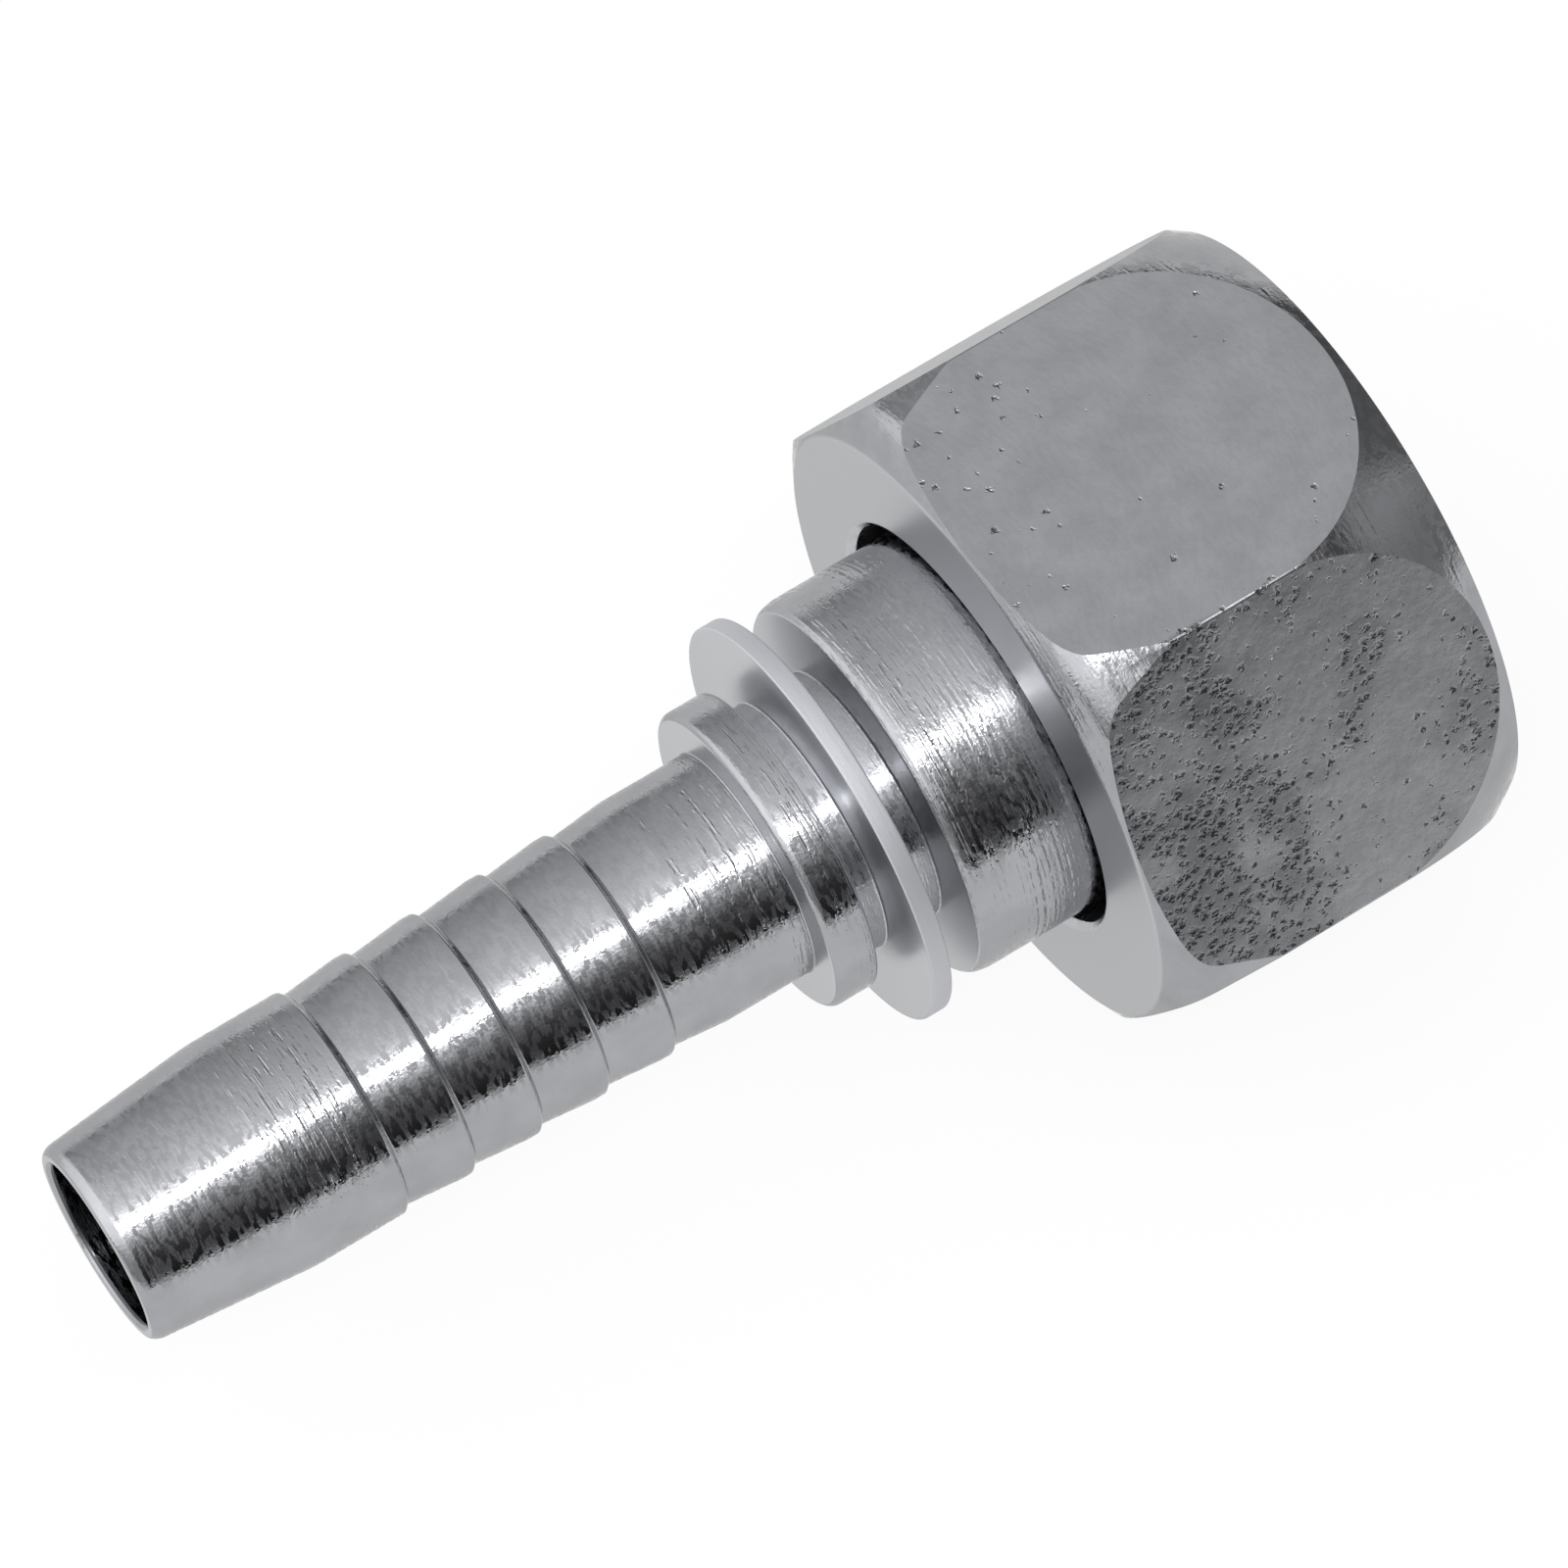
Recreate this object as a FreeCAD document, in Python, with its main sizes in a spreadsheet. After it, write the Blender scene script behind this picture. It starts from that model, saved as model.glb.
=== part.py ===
import FreeCAD, Part
import math
import os
import Sketcher

# Straight hydraulic hose fitting, in millimetres.
# A barbed stem, turned from one bar, carries a free-turning hexagon union nut on its 24 degree
# sealing cone. A rubber ring lies in a groove of that cone. The fitting lies on one flat of its nut.
# Each piece is drawn about its own X axis: the stem from its hose end, the nut from its back face.

SIZES = {
    # bore and barbed tail of the stem
    "bore_diameter": 5.9,
    "bore_lip": 0.17,
    "tail_diameter": 8.2,
    "tail_length": 24.65,
    "nose_diameter": 7.1,
    "nose_bevel": 0.3,
    "nose_taper": 5.8,
    "first_barb": 9.1,
    "barb_pitch": 2.54,
    "barb_count": 5,
    "barb_depth": 0.2,
    "barb_step_length": 0.2,
    "barb_land": 0.36,
    # collar, ferrule groove and stop flange
    "collar_diameter": 11.0,
    "collar_width": 1.55,
    "collar_bevel": 0.36,
    "neck_diameter": 9.1,
    "ferrule_groove_width": 0.95,
    "flange_diameter": 14.7,
    "flange_width": 0.7,
    "flange_edge_bevel": 0.07,
    "neck_width": 1.4,
    # shank, head and sealing cone
    "shank_diameter": 13.9,
    "shank_length": 7.52,
    "shank_bevel_length": 0.5,
    "shank_bevel_depth": 0.22,
    "head_diameter": 16.0,
    "head_width": 1.5,
    "seat_angle": 45,
    "cone_diameter": 14.2,
    "cone_length": 7.4,
    "cone_angle": 12,
    "cone_bore_bevel": 0.7,
    # seal ring and its groove
    "ring_thickness": 1.5,
    "ring_distance": 3.9,
    "ring_groove_diameter": 10.3,
    "ring_groove_width": 1.9,
    "ring_clearance": 0.05,
    # union nut
    "flats": 22,
    "nut_length": 14.1,
    "nut_hole_diameter": 14.9,
    "nut_hole_bevel": 0.25,
    "nut_back_wall": 3.65,
    "nut_back_face_diameter": 21.7,
    "nut_shoulder_diameter": 24.2,
    "nut_back_bevel_angle": 60,
    "nut_shoulder_angle": 11.5,
    "nut_front_face_diameter": 21.6,
    "nut_front_round": 9,
    "thread_minor_diameter": 16.38,
    "thread_relief_diameter": 18.3,
    "thread_relief_width": 2.2,
    "thread_mouth_diameter": 18.3,
    "seat_clearance": 0.07,
}

SHEET = "Sizes"
FULL_TURN = 360
OUTSIDE = 2.0
RING_SIDES = 8
HALF_SIDE = 180 / RING_SIDES
START_INDEX, END_INDEX, CENTRE_INDEX = 1, 2, 3
ORIGIN = (-1, 1)
X_AXIS_INDEX, Y_AXIS_INDEX = -1, -2


def radius(name):
    return f"{SHEET}.{name} / 2"


def size(name):
    return f"{SHEET}.{name}"


# places along the stem, measured from its hose end
COLLAR_FACE = size("tail_length")
COLLAR_BACK = f"{COLLAR_FACE} + {size('collar_width')}"
FLANGE_FACE = f"{COLLAR_BACK} + {size('ferrule_groove_width')}"
FLANGE_BACK = f"{FLANGE_FACE} + {size('flange_width')}"
SHANK_FACE = f"{FLANGE_BACK} + {size('neck_width')}"
SEAT_START = f"{SHANK_FACE} + {size('shank_length')}"
SEAT_END = (
    f"{SEAT_START} + ({radius('head_diameter')} - {radius('shank_diameter')})"
    f" / tan({size('seat_angle')})"
)
HEAD_FRONT = f"{SEAT_END} + {size('head_width')}"
CONE_END = f"{HEAD_FRONT} + {size('cone_length')}"
CONE_TIP_RADIUS = f"{radius('cone_diameter')} - {size('cone_length')} * tan({size('cone_angle')})"
RING_PLACE = f"{HEAD_FRONT} + {size('ring_distance')}"

# the nut's back face is where its inner seat comes to the clearance from the head's seat
NUT_BACK = (
    f"{SEAT_START} + ({radius('nut_hole_diameter')} - {radius('shank_diameter')})"
    f" / tan({size('seat_angle')}) - {size('nut_back_wall')} - {size('seat_clearance')}"
)
OVERALL = f"max({NUT_BACK} + {size('nut_length')}; {CONE_END})"


def make_sheet(doc):
    sheet = doc.addObject("Spreadsheet::Sheet", SHEET)
    for row, (name, value) in enumerate(SIZES.items(), start=1):
        sheet.set(f"A{row}", name)
        sheet.set(f"B{row}", str(value))
        sheet.setAlias(f"B{row}", name)
    doc.recompute()
    return sheet


def make_body(doc, label):
    body = doc.addObject("PartDesign::Body", label)
    body.Label = label
    return body


def origin_feature(body, role):
    return next(item for item in body.Origin.OriginFeatures if item.Role == role)


def new_sketch(body, name, plane):
    sketch = body.newObject("Sketcher::SketchObject", name)
    sketch.AttachmentSupport = (origin_feature(body, plane), [""])
    sketch.MapMode = "FlatFace"
    return sketch


def value_of(sketch, expression):
    return float(sketch.evalExpression(expression))


def angle_at(centre, point):
    return math.atan2(point.y - centre.y, point.x - centre.x)


def hold(sketch, kind, geometry, point, expression):
    # ties one coordinate of a point to the sheet; a plain zero puts the point on the axis
    if expression == "0":
        axis = Y_AXIS_INDEX if kind == "DistanceX" else X_AXIS_INDEX
        sketch.addConstraint(Sketcher.Constraint("PointOnObject", geometry, point, axis))
        return
    number = value_of(sketch, expression)
    index = sketch.addConstraint(Sketcher.Constraint(kind, *ORIGIN, geometry, point, number))
    sketch.setExpression(f"Constraints[{index}]", expression)


def draw_outline(sketch, corners, arcs=None):
    # a closed outline whose corners, as (x, y) expressions, are all held to the sheet;
    # arcs gives, for the side that starts at a corner, the centre of its arc and which of the
    # centre's two coordinates to hold; an arc bulges away from the axis and runs clockwise
    arcs = arcs or {}
    points = [
        FreeCAD.Vector(value_of(sketch, x), value_of(sketch, y), 0) for x, y in corners
    ]
    sides = []
    for index, point in enumerate(points):
        following = points[(index + 1) % len(points)]
        if index in arcs:
            (centre_x, centre_y), held = arcs[index]
            centre = FreeCAD.Vector(value_of(sketch, centre_x), value_of(sketch, centre_y), 0)
            circle = Part.Circle(centre, FreeCAD.Vector(0, 0, 1), (point - centre).Length)
            curve = Part.ArcOfCircle(circle, angle_at(centre, following), angle_at(centre, point))
            geometry = sketch.addGeometry(curve, False)
            hold(sketch, held, geometry, CENTRE_INDEX, centre_x if held == "DistanceX" else centre_y)
            sides.append((geometry, END_INDEX, START_INDEX))
        else:
            geometry = sketch.addGeometry(Part.LineSegment(point, following), False)
            sides.append((geometry, START_INDEX, END_INDEX))
    for index, (geometry, start, end) in enumerate(sides):
        next_geometry, next_start, _ = sides[(index + 1) % len(sides)]
        sketch.addConstraint(
            Sketcher.Constraint("Coincident", geometry, end, next_geometry, next_start)
        )
        hold(sketch, "DistanceX", geometry, start, corners[index][0])
        hold(sketch, "DistanceY", geometry, start, corners[index][1])


def turn(body, kind, name, corners, arcs=None):
    # a revolved solid (Revolution) or a revolved cut (Groove) about the piece's own axis
    sketch = new_sketch(body, f"{name}_outline", "XZ_Plane")
    draw_outline(sketch, corners, arcs)
    feature = body.newObject(f"PartDesign::{kind}", name)
    feature.Profile = sketch
    feature.ReferenceAxis = (sketch, ["H_Axis"])
    feature.Angle = FULL_TURN
    body.Document.recompute()
    return feature


def make_stem(doc):
    body = make_body(doc, "hose_stem")
    tail = radius("tail_diameter")
    nose = radius("nose_diameter")
    collar = radius("collar_diameter")
    neck = radius("neck_diameter")
    flange = radius("flange_diameter")
    edge = size("flange_edge_bevel")
    shank = radius("shank_diameter")
    shank_edge = f"{shank} - {size('shank_bevel_depth')}"
    head = radius("head_diameter")
    corners = [
        ("0", "0"),
        ("0", f"{nose} - {size('nose_bevel')}"),
        (size("nose_bevel"), nose),
        (size("nose_taper"), tail),
        (COLLAR_FACE, tail),
        (COLLAR_FACE, f"{collar} - {size('collar_bevel')}"),
        (f"{COLLAR_FACE} + {size('collar_bevel')}", collar),
        (COLLAR_BACK, collar),
        (COLLAR_BACK, neck),
        (FLANGE_FACE, neck),
        (FLANGE_FACE, f"{flange} - {edge}"),
        (f"{FLANGE_FACE} + {edge}", flange),
        (f"{FLANGE_BACK} - {edge}", flange),
        (FLANGE_BACK, f"{flange} - {edge}"),
        (FLANGE_BACK, neck),
        (SHANK_FACE, neck),
        (SHANK_FACE, shank_edge),
        (f"{SHANK_FACE} + {size('shank_bevel_length')}", shank),
        (SEAT_START, shank),
        (SEAT_END, head),
        (HEAD_FRONT, head),
        (HEAD_FRONT, radius("cone_diameter")),
        (CONE_END, CONE_TIP_RADIUS),
        (CONE_END, "0"),
    ]
    turn(body, "Revolution", "turned_bar", corners)

    # one saw-tooth valley behind the first barb, a short steep step down and a long rise,
    # then copies of it along the tail
    valley_end = f"{size('first_barb')} + {size('barb_pitch')} - {size('barb_land')}"
    step_end = f"{size('first_barb')} + {size('barb_step_length')}"
    above = f"{tail} + {OUTSIDE}"
    valley = turn(
        body,
        "Groove",
        "barb_valley",
        [
            (size("first_barb"), tail),
            (step_end, f"{tail} - {size('barb_depth')}"),
            (valley_end, tail),
            (valley_end, above),
            (size("first_barb"), above),
        ],
    )
    barbs = body.newObject("PartDesign::LinearPattern", "barbs")
    barbs.Originals = [valley]
    barbs.Direction = (origin_feature(body, "X_Axis"), [""])
    barbs.setExpression("Length", f"{size('barb_pitch')} * ({size('barb_count')} - 1)")
    barbs.setExpression("Occurrences", size("barb_count"))
    body.Tip = barbs
    doc.recompute()

    # groove for the seal ring, in the sealing cone
    ring_low = f"{RING_PLACE} - {size('ring_groove_width')} / 2"
    ring_high = f"{RING_PLACE} + {size('ring_groove_width')} / 2"
    ring_root = radius("ring_groove_diameter")
    clear_of_cone = f"{radius('cone_diameter')} + {OUTSIDE}"
    turn(
        body,
        "Groove",
        "ring_groove",
        [
            (ring_low, ring_root),
            (ring_high, ring_root),
            (ring_high, clear_of_cone),
            (ring_low, clear_of_cone),
        ],
    )

    # the bore runs right through, with a small lip bevel at the hose end and one in the cone
    bore = radius("bore_diameter")
    turn(
        body,
        "Groove",
        "through_bore",
        [
            ("0", "0"),
            ("0", f"{bore} + {size('bore_lip')}"),
            (size("bore_lip"), bore),
            (f"{CONE_END} - {size('cone_bore_bevel')}", bore),
            (CONE_END, f"{bore} + {size('cone_bore_bevel')}"),
            (CONE_END, "0"),
        ],
    )
    return body


def hexagon(sketch):
    # six equal sides on a construction circle, with the lowest side level and half the
    # distance across flats below the axis
    across = SIZES["flats"] / 3**0.5
    corners = [
        FreeCAD.Rotation(FreeCAD.Vector(0, 0, 1), 60 * turn_index - 120).multVec(
            FreeCAD.Vector(across, 0, 0)
        )
        for turn_index in range(6)
    ]
    for index, corner in enumerate(corners):
        sketch.addGeometry(Part.LineSegment(corner, corners[(index + 1) % 6]), False)
    circle = sketch.addGeometry(
        Part.Circle(FreeCAD.Vector(), FreeCAD.Vector(0, 0, 1), across), True
    )
    sketch.addConstraint(Sketcher.Constraint("Coincident", circle, CENTRE_INDEX, *ORIGIN))
    for index in range(6):
        following = (index + 1) % 6
        sketch.addConstraint(
            Sketcher.Constraint("Coincident", index, END_INDEX, following, START_INDEX)
        )
        sketch.addConstraint(Sketcher.Constraint("PointOnObject", index, START_INDEX, circle))
        if index:
            sketch.addConstraint(Sketcher.Constraint("Equal", 0, index))
    sketch.addConstraint(Sketcher.Constraint("Horizontal", 0))
    depth = sketch.addConstraint(
        Sketcher.Constraint("DistanceY", 0, START_INDEX, *ORIGIN, SIZES["flats"] / 2)
    )
    sketch.setExpression(f"Constraints[{depth}]", radius("flats"))


def make_nut(doc):
    body = make_body(doc, "union_nut")
    sketch = new_sketch(body, "hexagon", "YZ_Plane")
    hexagon(sketch)
    bar = body.newObject("PartDesign::Pad", "hexagon_bar")
    bar.Profile = sketch
    bar.setExpression("Length", size("nut_length"))
    doc.recompute()

    outer = f"{size('flats')} / cos(30) / 2 + {OUTSIDE}"
    length = size("nut_length")

    # the back end is turned with a steep bevel that eases into a slight taper at the corners
    back_face = radius("nut_back_face_diameter")
    shoulder = radius("nut_shoulder_diameter")
    shoulder_place = f"({shoulder} - {back_face}) / tan({size('nut_back_bevel_angle')})"
    taper_end = f"{shoulder_place} + ({outer} - ({shoulder})) / tan({size('nut_shoulder_angle')})"
    turn(
        body,
        "Groove",
        "back_bevel",
        [("0", back_face), (shoulder_place, shoulder), (taper_end, outer), ("0", outer)],
    )

    # the front end is rounded over to the front face in one arc that starts level at the corners
    front_face = radius("nut_front_face_diameter")
    corner_circle = f"{size('flats')} / cos(30) / 2"
    roundness = size("nut_front_round")
    arc_centre = f"{corner_circle} - {roundness}"
    arc_run = f"sqrt({roundness} ^ 2 - ({front_face} - ({arc_centre})) ^ 2)"
    arc_start = f"{length} - {arc_run}"
    turn(
        body,
        "Groove",
        "front_rounding",
        [(arc_start, corner_circle), (length, front_face), (length, outer), (arc_start, outer)],
        {0: ((arc_start, arc_centre), "DistanceY")},
    )

    # inside: shank hole, seat for the stem's head, thread relief, thread and bevelled mouth
    hole = radius("nut_hole_diameter")
    thread = radius("thread_minor_diameter")
    relief = radius("thread_relief_diameter")
    mouth = radius("thread_mouth_diameter")
    seat_end = f"{size('nut_back_wall')} + ({thread} - ({hole})) / tan({size('seat_angle')})"
    relief_end = f"{seat_end} + {size('thread_relief_width')}"
    turn(
        body,
        "Groove",
        "inside",
        [
            ("0", "0"),
            ("0", f"{hole} + {size('nut_hole_bevel')}"),
            (size("nut_hole_bevel"), hole),
            (size("nut_back_wall"), hole),
            (seat_end, thread),
            (seat_end, relief),
            (relief_end, relief),
            (relief_end, thread),
            (f"{length} - ({mouth} - {thread})", thread),
            (length, mouth),
            (length, "0"),
        ],
    )
    return body


def make_ring(doc):
    # the rubber ring's round section is drawn with eight equal sides about its thickness
    body = make_body(doc, "seal_ring")
    half = f"{size('ring_thickness')} / 2"
    middle = f"{radius('ring_groove_diameter')} + {size('ring_clearance')} + {half}"
    corner = f"{half} / cos({HALF_SIDE})"
    corners = [
        (
            f"{corner} * cos({HALF_SIDE + 2 * HALF_SIDE * side})",
            f"{middle} + {corner} * sin({HALF_SIDE + 2 * HALF_SIDE * side})",
        )
        for side in range(RING_SIDES)
    ]
    turn(body, "Revolution", "ring_section", corners)
    return body


def put(piece, along):
    # the origin lies under the middle of the fitting, on the plane that the nut's flat rests on
    piece.setExpression("Placement.Base.x", f"{along} - ({OVERALL}) / 2")
    piece.setExpression("Placement.Base.z", radius("flats"))


def check(doc, pieces):
    for item in doc.Objects:
        if "Invalid" in item.State or "Error" in item.State:
            raise RuntimeError(f"{item.Label} did not build: {item.State}")
    for piece in pieces:
        shape = piece.Shape
        if shape.isNull() or not shape.isValid() or len(shape.Solids) != 1:
            raise RuntimeError(f"{piece.Label} is not one sound solid")


def main():
    doc = FreeCAD.newDocument("hose_fitting")
    make_sheet(doc)
    stem = make_stem(doc)
    nut = make_nut(doc)
    ring = make_ring(doc)
    put(stem, "0")
    put(nut, NUT_BACK)
    put(ring, RING_PLACE)
    doc.recompute()
    pieces = [stem, nut, ring]
    check(doc, pieces)
    os.makedirs("parts", exist_ok=True)
    for piece in pieces:
        piece.Shape.exportStep(f"parts/{piece.Label}.step")
        box = piece.Shape.BoundBox
        print(
            f"{piece.Label}: volume {piece.Shape.Volume:.1f}, x {box.XMin:.2f} to {box.XMax:.2f},"
            f" z {box.ZMin:.2f} to {box.ZMax:.2f}"
        )


main()
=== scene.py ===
# %% [markdown]
# # A straight crimp fitting for a hydraulic hose
#
# The object is about 48 mm long and has three pieces. A steel stem carries a barbed tail,
# which goes into the hose. A swivelling union nut screws the fitting to a tube end. A rubber
# ring sits in a groove of the sealing cone, inside the nut.
#
# Every piece here stands on a frame that was made before in a CAD program. The frame gives
# the places and sizes. This script gives the true roundings, the thread and the finishes.

# %% Load the frame
import math
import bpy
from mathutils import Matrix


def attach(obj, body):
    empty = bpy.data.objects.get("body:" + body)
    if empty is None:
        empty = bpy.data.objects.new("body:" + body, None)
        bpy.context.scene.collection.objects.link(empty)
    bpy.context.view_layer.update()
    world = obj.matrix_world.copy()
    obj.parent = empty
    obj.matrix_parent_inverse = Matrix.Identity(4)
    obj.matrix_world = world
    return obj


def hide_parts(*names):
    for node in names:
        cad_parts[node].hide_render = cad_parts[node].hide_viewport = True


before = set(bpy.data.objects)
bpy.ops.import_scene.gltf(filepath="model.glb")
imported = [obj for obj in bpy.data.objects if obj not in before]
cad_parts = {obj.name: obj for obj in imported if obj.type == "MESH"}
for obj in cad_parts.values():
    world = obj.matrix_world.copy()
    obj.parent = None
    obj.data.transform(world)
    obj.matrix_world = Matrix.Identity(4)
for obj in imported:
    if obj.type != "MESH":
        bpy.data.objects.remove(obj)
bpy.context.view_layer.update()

from types import SimpleNamespace

import bpy
from mathutils import Matrix, Vector

# %% [markdown]
# ## Measures
#
# A machinist's drawing gives lengths in millimetres, from the face where the hose goes on.
# Blender works in metres, and the frame puts the middle of the fitting over the origin with
# the nut's lowest flat on the floor. One helper turns a place on the drawing into a point.
# The axis of the fitting runs along X, at the height of half the nut's width across flats.

# %% Places on the drawing
MM = 0.001
HALF_LENGTH = 23.825
AXIS_HEIGHT = 11.0
AXIS = Vector((0, 0, AXIS_HEIGHT)) * MM


def place(along, radius, side=0.0):
    """The point that lies so many millimetres from the hose end and from the axis."""
    return Vector((along - HALF_LENGTH, side, AXIS_HEIGHT + radius)) * MM


print("hose end of the axis:", place(0, 0))

# %% [markdown]
# ## Camera
#
# The fitting was photographed from above its hose end with a long lens, so parallel lines
# stay almost parallel. Three angles give the view: how far the camera tilts from square-on
# towards the hose end, how far it has turned from straight above towards the front, and how
# far the picture is rolled. A long lens on a 36 mm sensor keeps the distortion low.

# %% Set the camera
TILT = math.radians(13.2)
TURN = math.radians(26.6)
ROLL = math.radians(30.52)
DISTANCE = 287.2
AIM = place(27.07, 0)
AIM_RIGHT, AIM_UP = 0.795, -1.366
LENS, SENSOR_WIDTH = 202.5, 36
NEAREST = 0.01

towards_camera = Vector((
    -math.sin(TILT),
    -math.cos(TILT) * math.sin(TURN),
    math.cos(TILT) * math.cos(TURN),
))
along_axis = Vector((1, 0, 0))
level = (along_axis - along_axis.dot(towards_camera) * towards_camera).normalized()
upright = towards_camera.cross(level)
picture_right = math.cos(ROLL) * level - math.sin(ROLL) * upright
picture_up = math.sin(ROLL) * level + math.cos(ROLL) * upright

camera_place = AIM - (
    AIM_RIGHT * picture_right + AIM_UP * picture_up - DISTANCE * towards_camera
) * MM
camera_turn = Matrix((picture_right, picture_up, towards_camera)).transposed().to_4x4()

camera = bpy.data.objects.new("camera", bpy.data.cameras.new("camera"))
camera.data.sensor_width = SENSOR_WIDTH
camera.data.lens = LENS
camera.data.clip_start = NEAREST
camera.matrix_world = Matrix.Translation(camera_place) @ camera_turn
bpy.context.scene.collection.objects.link(camera)
bpy.context.scene.camera = camera
print("camera at", camera_place)

# %% [markdown]
# ## Nodes and colours
#
# Colours are picked as they look on a screen, as six hex digits. Shaders calculate with
# linear light, so one function converts them. Another small function adds a node, sets its
# properties and joins its inputs, which keeps each material short enough to read. Where it
# gets a whole node as an input, it joins that node's first output.

# %% Helpers for materials
# A mix node has several inputs of the same name, so its sockets go by number.
FIRST_NUMBER, SECOND_NUMBER = 2, 3
FIRST_COLOUR, SECOND_COLOUR, MIXED_COLOUR = 6, 7, 2


def linear(hex_colour):
    """A screen colour such as a9aaae as linear red, green, blue and alpha."""
    channels = []
    for start in (0, 2, 4):
        value = int(hex_colour[start:start + 2], 16) / 255
        if value <= 0.04045:
            channels.append(value / 12.92)
        else:
            channels.append(((value + 0.055) / 1.055) ** 2.4)
    return (*channels, 1.0)


def add_node(tree, kind, settings=None, inputs=None):
    """Add a node, set its properties, and set or link its inputs by name or number."""
    node = tree.nodes.new(kind)
    for name, value in (settings or {}).items():
        setattr(node, name, value)
    for name, value in (inputs or {}).items():
        if isinstance(value, bpy.types.Node):
            value = value.outputs[0]
        if isinstance(value, bpy.types.NodeSocket):
            tree.links.new(value, node.inputs[name])
        else:
            node.inputs[name].default_value = value
    return node


def new_material(name):
    """An empty material, and the output node that its shader goes to."""
    material = bpy.data.materials.new(name)
    material.use_nodes = True
    material.node_tree.nodes.clear()
    output = add_node(material.node_tree, "ShaderNodeOutputMaterial")
    return material, material.node_tree, output


def fill_ramp(ramp, stops, blue=1.0):
    """Give a colour ramp its stops, from pairs of place and brightness."""
    elements = ramp.color_ramp.elements
    for number, (where, brightness) in enumerate(stops):
        stop = elements[number] if number < 2 else elements.new(where)
        stop.position = where
        stop.color = (brightness, brightness, brightness * blue, 1)


print("steel grey in linear light:", linear("a9aaae"))

# %% [markdown]
# ## Floor
#
# The fitting lies on a white table top, half a metre square. The camera and every
# mirror-like surface should see it as plain white, so for those rays most of its brightness
# is a glow of strength 1. The rest is a matt white that takes light as paper does, and keeps
# a faint shadow where the nut touches the table. The top ends close by, so a mirrored ray
# that leaves the metal almost level passes its edge and meets the room.

# %% Make the floor
TABLE_WIDTH = 0.5
FLOOR_GLOW_SHARE = 0.92

bpy.ops.object.select_all(action="DESELECT")
bpy.ops.mesh.primitive_plane_add(size=TABLE_WIDTH, location=(0, 0, 0))
floor = bpy.context.object
floor.name = "floor"

floor_paper, tree, output = new_material("matt_white_paper")
rays = add_node(tree, "ShaderNodeLightPath").outputs
seen = rays["Is Camera Ray"]
for also_seen in (rays["Is Glossy Ray"], rays["Is Transmission Ray"]):
    seen = add_node(tree, "ShaderNodeMath", {"operation": "MAXIMUM"}, {
        0: seen, 1: also_seen})
glow_share = add_node(tree, "ShaderNodeMath", {"operation": "MULTIPLY"}, {
    0: seen, 1: FLOOR_GLOW_SHARE})
paper = add_node(tree, "ShaderNodeBsdfDiffuse", None, {"Color": linear("fafafa")})
glow = add_node(tree, "ShaderNodeEmission", None, {
    "Color": linear("ffffff"), "Strength": 1.0})
surface = add_node(tree, "ShaderNodeMixShader", None, {0: glow_share, 1: paper, 2: glow})
tree.links.new(surface.outputs[0], output.inputs["Surface"])
floor.data.materials.append(floor_paper)
print("floor is", floor.dimensions[0], "m wide")

# %% [markdown]
# ## Light
#
# Bright metal has hardly any colour of its own. What the eye reads as its shape is the room
# that it mirrors. This room is dark in front, brightens steeply to a pale ceiling just short
# of overhead, and falls off softly towards the wall behind. A big soft window stands at the
# hose's end, high above a darker sill. Past the nut's end comes a dark gap, and then a low
# grey wall in front. The world holds each of the four as a ramp over the angle around the X
# axis, from the front horizon over the top to the horizon behind, and mixes them along X.

# %% Light the room
# The pairs are degrees around the X axis and brightness.
ROOM_STRENGTH = 2.5
ROOM_BLUE = 1.01
ROOM = [
    (4, 0.010), (24, 0.025), (37, 0.065), (47, 0.15), (57, 0.33),
    (80, 0.50), (100, 0.41), (125, 0.31), (150, 0.25), (178, 0.18),
]
WINDOW = [(0, 0.16), (30, 0.18), (60, 0.68), (100, 0.72), (140, 0.62), (180, 0.52)]
DARK_GAP = [(0, 0.02), (60, 0.06), (90, 0.12), (130, 0.12), (180, 0.06)]
FAR_WALL = [(0, 0.12), (30, 0.14), (50, 0.18), (65, 0.20), (80, 0.08), (180, 0.06)]
# Where each side starts to show and where it shows fully, as a share of a ray's way along X.
SIDES = [(WINDOW, -0.10, -0.28), (DARK_GAP, 0.32, 0.55), (FAR_WALL, 0.62, 0.80)]
HALF_TURN = 180

world = bpy.data.worlds.new("studio_room")
bpy.context.scene.world = world
world.use_nodes = True
tree = world.node_tree
tree.nodes.clear()
direction = add_node(tree, "ShaderNodeTexCoord")
parts = add_node(tree, "ShaderNodeSeparateXYZ", None, {
    "Vector": direction.outputs["Generated"]}).outputs
forwards = add_node(tree, "ShaderNodeMath", {"operation": "MULTIPLY"}, {
    0: parts["Y"], 1: -1.0})
not_below = add_node(tree, "ShaderNodeMath", {"operation": "MAXIMUM"}, {
    0: parts["Z"], 1: 0.0})
angle = add_node(tree, "ShaderNodeMath", {"operation": "ARCTAN2"}, {
    0: not_below, 1: forwards})
half_turns = add_node(tree, "ShaderNodeMath", {"operation": "DIVIDE"}, {
    0: angle, 1: math.pi})

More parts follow.
